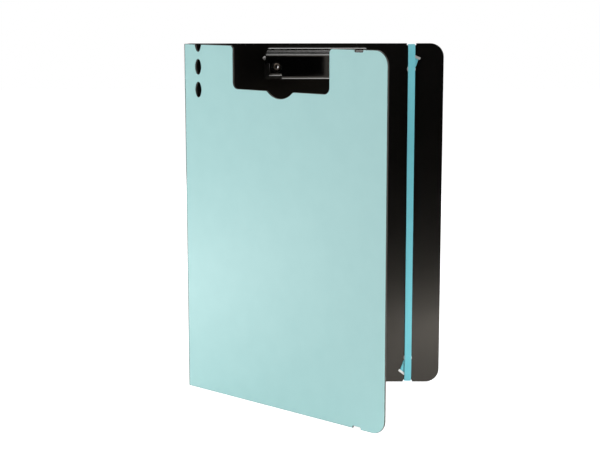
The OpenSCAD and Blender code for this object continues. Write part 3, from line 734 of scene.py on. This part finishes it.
        def unit(vectors):
            return vectors / np.linalg.norm(vectors, axis=1, keepdims=True)

        way = unit(along(ways))
        side = along(level)
        side = unit(side - (side * way).sum(1, keepdims=True) * way)
        placed = along(points) + co[:, 1:2] * side + co[:, 2:3] * np.cross(way, side)
        strap.data.vertices.foreach_set("co", placed.ravel())
        strap.data.update()


def wire_piece(name, points, radius, finish, body):
    """Round wire along a smooth line."""
    curve = bpy.data.curves.new(name, "CURVE")
    curve.dimensions = "3D"
    curve.bevel_depth = radius
    curve.bevel_resolution = 3
    curve.use_fill_caps = True
    line = curve.splines.new("POLY")
    line.points.add(len(points) - 1)
    for point, at in zip(line.points, points):
        point.co = (*at, 1)
    piece = bpy.data.objects.new(name, curve)
    bpy.context.scene.collection.objects.link(piece)
    only(piece)
    bpy.ops.object.convert(target="MESH")
    piece = named(name)
    smooth(piece, 50)
    dress(piece, finish)
    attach(piece, body)
    return piece


def rounded(corners, radius, count=5):
    """Points of a line whose corners are rounded."""
    points = [corners[0]]
    for before, corner, after in zip(corners, corners[1:], corners[2:]):
        back = (before - corner).normalized() * min(radius, (before - corner).length / 2)
        on = (after - corner).normalized() * min(radius, (after - corner).length / 2)
        for i in range(count + 1):
            t = i / count
            points.append(corner + back * (1 - t) ** 2 + on * t ** 2)
    return points + [corners[-1]]


# Finer sizes of the spring. Lengths are in metres.

COIL_STEPS = 24  # rings of faces in one turn of a coil
WIRE_SIDES = 12  # sides of the coils' wire
PLATE_T = 0.0008  # sheet of the base plate, on which the legs lie
LEG_GAP = 0.00008  # gap between a leg and that sheet
LEG_END = 0.0086  # from the board's top edge down to the end of a leg
LEG_WAY = Vector((0, 0.0004, 0.002))  # a leg's way off its coil
LEG_BEND = 0.0008  # rounding of a leg's bend
ARM_WAY = Vector((0, -0.0002, 0.0024))  # an arm's way off its coil
ARM_BEND = 0.0013  # rounding of the bends in the arms and the bridge


class CLIPBOARD_OT_spring(bpy.types.Operator):
    """Winds the clip's double spring"""
    bl_idname = "clipboard.spring"
    bl_label = "Spring"
    bl_options = {"REGISTER", "UNDO"}

    def execute(self, context):
        clip = context.scene.clipboard_clip
        finish = metal_finish("Spring wire", clip.wire, rough=(0.22, 0.36))
        low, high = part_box("clip_spring")
        coil_end = clip.coil_start + clip.coil_turns * clip.coil_pitch
        for side, word in ((-1, "left"), (1, "right")):
            coil = self.coil(clip, side, "spring_coil_" + word)
            dress(coil, finish)
            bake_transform(coil)
            foot = Vector((side * coil_end, PIVOT.y + clip.coil_r, PIVOT.z))
            on_plate = INNER_Y - PLATE_T - LEG_GAP - clip.wire_r
            toe = Vector((side * coil_end, on_plate, HEIGHT - LEG_END))
            leg = rounded([foot, foot + LEG_WAY, toe], LEG_BEND)
            wire_piece("spring_leg_" + word, leg, clip.wire_r, finish, "rear_cover")
        root = Vector((clip.coil_start, PIVOT.y - clip.coil_r, PIVOT.z))
        bridge = Vector((clip.coil_start, low.y + clip.wire_r, high.z - clip.wire_r))
        arm = [root, root + ARM_WAY, bridge]
        other = [Vector((-point.x, point.y, point.z)) for point in reversed(arm)]
        line = rounded(arm + other, ARM_BEND)
        arms = wire_piece("spring_bridge", line, clip.wire_r, finish, "clip_lever")
        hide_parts("clip_spring")
        return {"FINISHED"}

    def coil(self, clip, side, name):
        """One coil, screwed round the pivot from a ring of wire."""
        steps = round(COIL_STEPS * clip.coil_turns)
        bpy.ops.mesh.primitive_circle_add(
            vertices=WIRE_SIDES, radius=clip.wire_r, fill_type="NOTHING",
            location=(0, -clip.coil_r, 0))
        coil = named(name)
        settled(coil)
        coil.location = Vector((side * clip.coil_start, PIVOT.y, PIVOT.z))
        applied(
            coil, "SCREW", axis="X", angle=side * 2 * math.pi * clip.coil_turns,
            screw_offset=side * clip.coil_pitch * clip.coil_turns, iterations=1,
            steps=steps, render_steps=steps)
        settled(coil)
        with editing(coil):
            bpy.ops.mesh.select_non_manifold(extend=False)
            bpy.ops.mesh.edge_face_add()
            bpy.ops.mesh.select_all(action="SELECT")
            bpy.ops.mesh.normals_make_consistent(inside=False)
        smooth(coil, 50)
        return coil


class CLIPBOARD_OT_clip(bpy.types.Operator):
    """Polishes the clip: lever, base plate, rod and rivets"""
    bl_idname = "clipboard.clip"
    bl_label = "Clip"
    bl_options = {"REGISTER", "UNDO"}

    def execute(self, context):
        clip = context.scene.clipboard_clip
        chrome = metal_finish("Chrome", clip.chrome, rough=(0.05, 0.11))
        nickel = metal_finish("Nickel plate", clip.nickel, rough=(0.16, 0.28))
        satin = metal_finish("Satin rod", clip.satin, rough=(0.2, 0.3), metallic=0.6)
        brass = metal_finish("Rivet brass", clip.brass, rough=(0.25, 0.4), metallic=0.7)
        pieces = (
            ("clip_lever", "lever", clip.lever_r, "clip_lever", chrome, "chrome"),
            ("clip_base_plate", "base_plate", clip.edge_r, "rear_cover", nickel, "steel"),
            ("clip_pivot_rod", "pivot_rod", clip.edge_r, "rear_cover", satin, "steel"),
            ("clip_rivet_left", "rivet_left", clip.rivet_r, "rear_cover", brass, "rivet"),
            ("clip_rivet_right", "rivet_right", clip.rivet_r, "rear_cover", brass, "rivet"),
        )
        for piece in pieces:
            smoothed_copy(*piece)
        return {"FINISHED"}


class CLIPBOARD_OT_hardware(bpy.types.Operator):
    """Polishes the elastic's eyelets and metal tips"""
    bl_idname = "clipboard.hardware"
    bl_label = "Eyelets and tips"
    bl_options = {"REGISTER", "UNDO"}

    def execute(self, context):
        clip = context.scene.clipboard_clip
        satin = metal_finish("Satin nickel", clip.satin, rough=(0.25, 0.35), metallic=0.5)
        for word in ("top", "bottom"):
            pieces = (
                ("eyelet_" + word, "eyelet_ring_" + word, clip.ring_r),
                ("band_tip_" + word, "metal_tip_" + word, clip.tip_r),
            )
            for piece in pieces:
                smoothed_copy(*piece, "rear_cover", satin, "chrome", worn=True)
        return {"FINISHED"}


# Each lamp has its place, the point it is aimed at, its width and height, all in metres, and
# whether it shows in reflections. Its power is the studio's setting of the same name.
LAMPS = {
    "key": ((-1.25, -0.85, 0.35), (-0.1, -0.08, 0.13), (0.8, 0.7), True),
    "top": ((-0.1, -0.35, 1.35), (0, -0.1, 0.1), (1.1, 0.6), True),
    "low_left": ((-0.5, -0.06, 0.03), (-0.1, -0.05, 0.03), (0.3, 0.05), True),
    "fill": ((0.75, -1.0, 0.3), (0.1, 0, 0.1), (0.6, 0.5), False),
    "back": ((-0.5, 1.3, 0.6), (0, 0, 0.15), (0.9, 0.7), False),
    "low_right": ((0.16, -0.22, 0.025), (0.09, 0, 0.04), (0.1, 0.04), False),
}

# Sheets seen only in reflections, which paint a dark room, the shaded floor between the covers and
# a grey ceiling there. Each has its middle, its width and length, whether it hangs upright, and its
# glow.
PAINTED_REFLECTIONS = {
    # Painted reflections: a black sheet in front paints a dark room, a dim strip on the floor
    # between the covers paints the shaded floor seen in the clip, and a glowing grey sheet overhead
    # paints a grey ceiling.
    "black_cloth": ((0.3, -0.31, 0.75), (3.2, 1.5), True, 0.0),
    "black_strip": ((-0.0125, -0.0085, 0.0005), (0.145, 0.015), False, 0.03),
    "grey_canopy": ((0, 0, 1.5), (3, 3), False, 0.25),
}

PAPER_SIZE = 8  # side of the white paper
PAPER_DROP = 0.0001  # how far it lies below the part


class CLIPBOARD_OT_stage(bpy.types.Operator):
    """Sets the white paper, the sheets that paint dark and grey reflections, the lamps and the
    room's light
    """
    bl_idname = "clipboard.stage"
    bl_label = "Stage"
    bl_options = {"REGISTER", "UNDO"}

    def execute(self, context):
        studio = context.scene.clipboard_studio
        self.paper(studio)
        for name, (middle, size, upright, glow) in PAINTED_REFLECTIONS.items():
            turn = Matrix.Rotation(math.pi / 2 if upright else 0, 4, "X")
            self.cloth(
                name, Matrix.Translation(middle) @ turn @ Matrix.Diagonal((*size, 1, 1)), glow)
        for key, (at, target, size, mirrored) in LAMPS.items():
            lamp = self.lamp(key, at, target, size, getattr(studio, key))
            lamp.visible_glossy = mirrored
        self.room(context.scene, studio)
        context.scene.view_settings.view_transform = "Standard"
        return {"FINISHED"}

    def paper(self, studio):
        """A wide sheet of white paper under the part."""
        bpy.ops.mesh.primitive_plane_add(size=1)
        floor = named("paper")
        spread = Matrix.Diagonal((PAPER_SIZE, PAPER_SIZE, 1, 1))
        settled(floor, Matrix.Translation((0, 0, -PAPER_DROP)) @ spread)
        dress(floor, paper_finish(studio))

    def cloth(self, name, place, glow):
        """A sheet that shows only in reflections: black, as a painted dark reflection, or grey
        where it glows, as a painted grey reflection.
        """
        bpy.ops.mesh.primitive_plane_add(size=1)
        cloth = named(name)
        settled(cloth, place)
        dress(cloth, painted_reflection_finish(name.replace("_", " ").capitalize(), glow))
        # Hidden from all but mirrored rays, so that it only paints reflections.
        for ray in ("camera", "diffuse", "transmission", "volume_scatter", "shadow"):
            setattr(cloth, "visible_" + ray, False)

    def lamp(self, key, at, target, size, power):
        """A soft rectangular lamp aimed at a point."""
        aim = (Vector(target) - Vector(at)).to_track_quat("-Z", "Y").to_euler()
        bpy.ops.object.light_add(type="AREA", location=at, rotation=aim)
        lamp = bpy.context.object
        lamp.name = key.replace("_", " ").capitalize() + " lamp"
        lamp.data.shape = "RECTANGLE"
        lamp.data.size, lamp.data.size_y = size
        lamp.data.energy = power
        lamp.visible_camera = False
        return lamp

    def room(self, scene, studio):
        """A pale room: white where it is seen, and dimmer as light."""
        world = scene.world or bpy.data.worlds.new("Room")
        scene.world = world
        world.use_nodes = True
        nodes = Nodes(world.node_tree)
        level = nodes.add("ShaderNodeMapRange", {"Value": nodes.seen(), "To Min": studio.world})
        background = nodes.tree.nodes["Background"]
        nodes.feed(background.inputs["Color"], (1, 1, 1, 1))
        nodes.feed(background.inputs["Strength"], level.outputs["Result"])


class CLIPBOARD_PT_panel(bpy.types.Panel):
    """Lists the clipboard's pieces and their sizes"""
    bl_idname = "CLIPBOARD_PT_panel"
    bl_label = "Clipboard"
    bl_space_type = "VIEW_3D"
    bl_region_type = "UI"
    bl_category = "Clipboard"

    def draw(self, context):
        for name, kind in SETTINGS.items():
            box = self.layout.box()
            box.label(text=kind.__doc__)
            for key in kind.__annotations__:
                box.prop(getattr(context.scene, name), key)
        for operator in OPERATORS:
            self.layout.operator(operator.bl_idname)


SETTINGS = {
    "clipboard_boards": CLIPBOARD_PG_boards,
    "clipboard_creases": CLIPBOARD_PG_creases,
    "clipboard_elastic": CLIPBOARD_PG_elastic,
    "clipboard_clip": CLIPBOARD_PG_clip,
    "clipboard_studio": CLIPBOARD_PG_studio,
}
OPERATORS = (
    CLIPBOARD_OT_camera,
    CLIPBOARD_OT_boards,
    CLIPBOARD_OT_creases,
    CLIPBOARD_OT_elastic,
    CLIPBOARD_OT_spring,
    CLIPBOARD_OT_clip,
    CLIPBOARD_OT_hardware,
    CLIPBOARD_OT_stage,
)


def register():
    """Adds the settings, the operators and the panel to Blender."""
    for kind in (*SETTINGS.values(), *OPERATORS, CLIPBOARD_PT_panel):
        bpy.utils.register_class(kind)
    for name, kind in SETTINGS.items():
        setattr(bpy.types.Scene, name, PointerProperty(type=kind))


def unregister():
    """Takes them out again."""
    for name in SETTINGS:
        delattr(bpy.types.Scene, name)
    for kind in (CLIPBOARD_PT_panel, *reversed(OPERATORS), *reversed(SETTINGS.values())):
        bpy.utils.unregister_class(kind)


def main():
    """Makes every piece in order."""
    register()
    bpy.ops.clipboard.camera()
    bpy.ops.clipboard.boards()
    bpy.ops.clipboard.creases()
    bpy.ops.clipboard.elastic()
    bpy.ops.clipboard.spring()
    bpy.ops.clipboard.clip()
    bpy.ops.clipboard.hardware()
    bpy.ops.clipboard.stage()


if __name__ == "__main__":
    main()
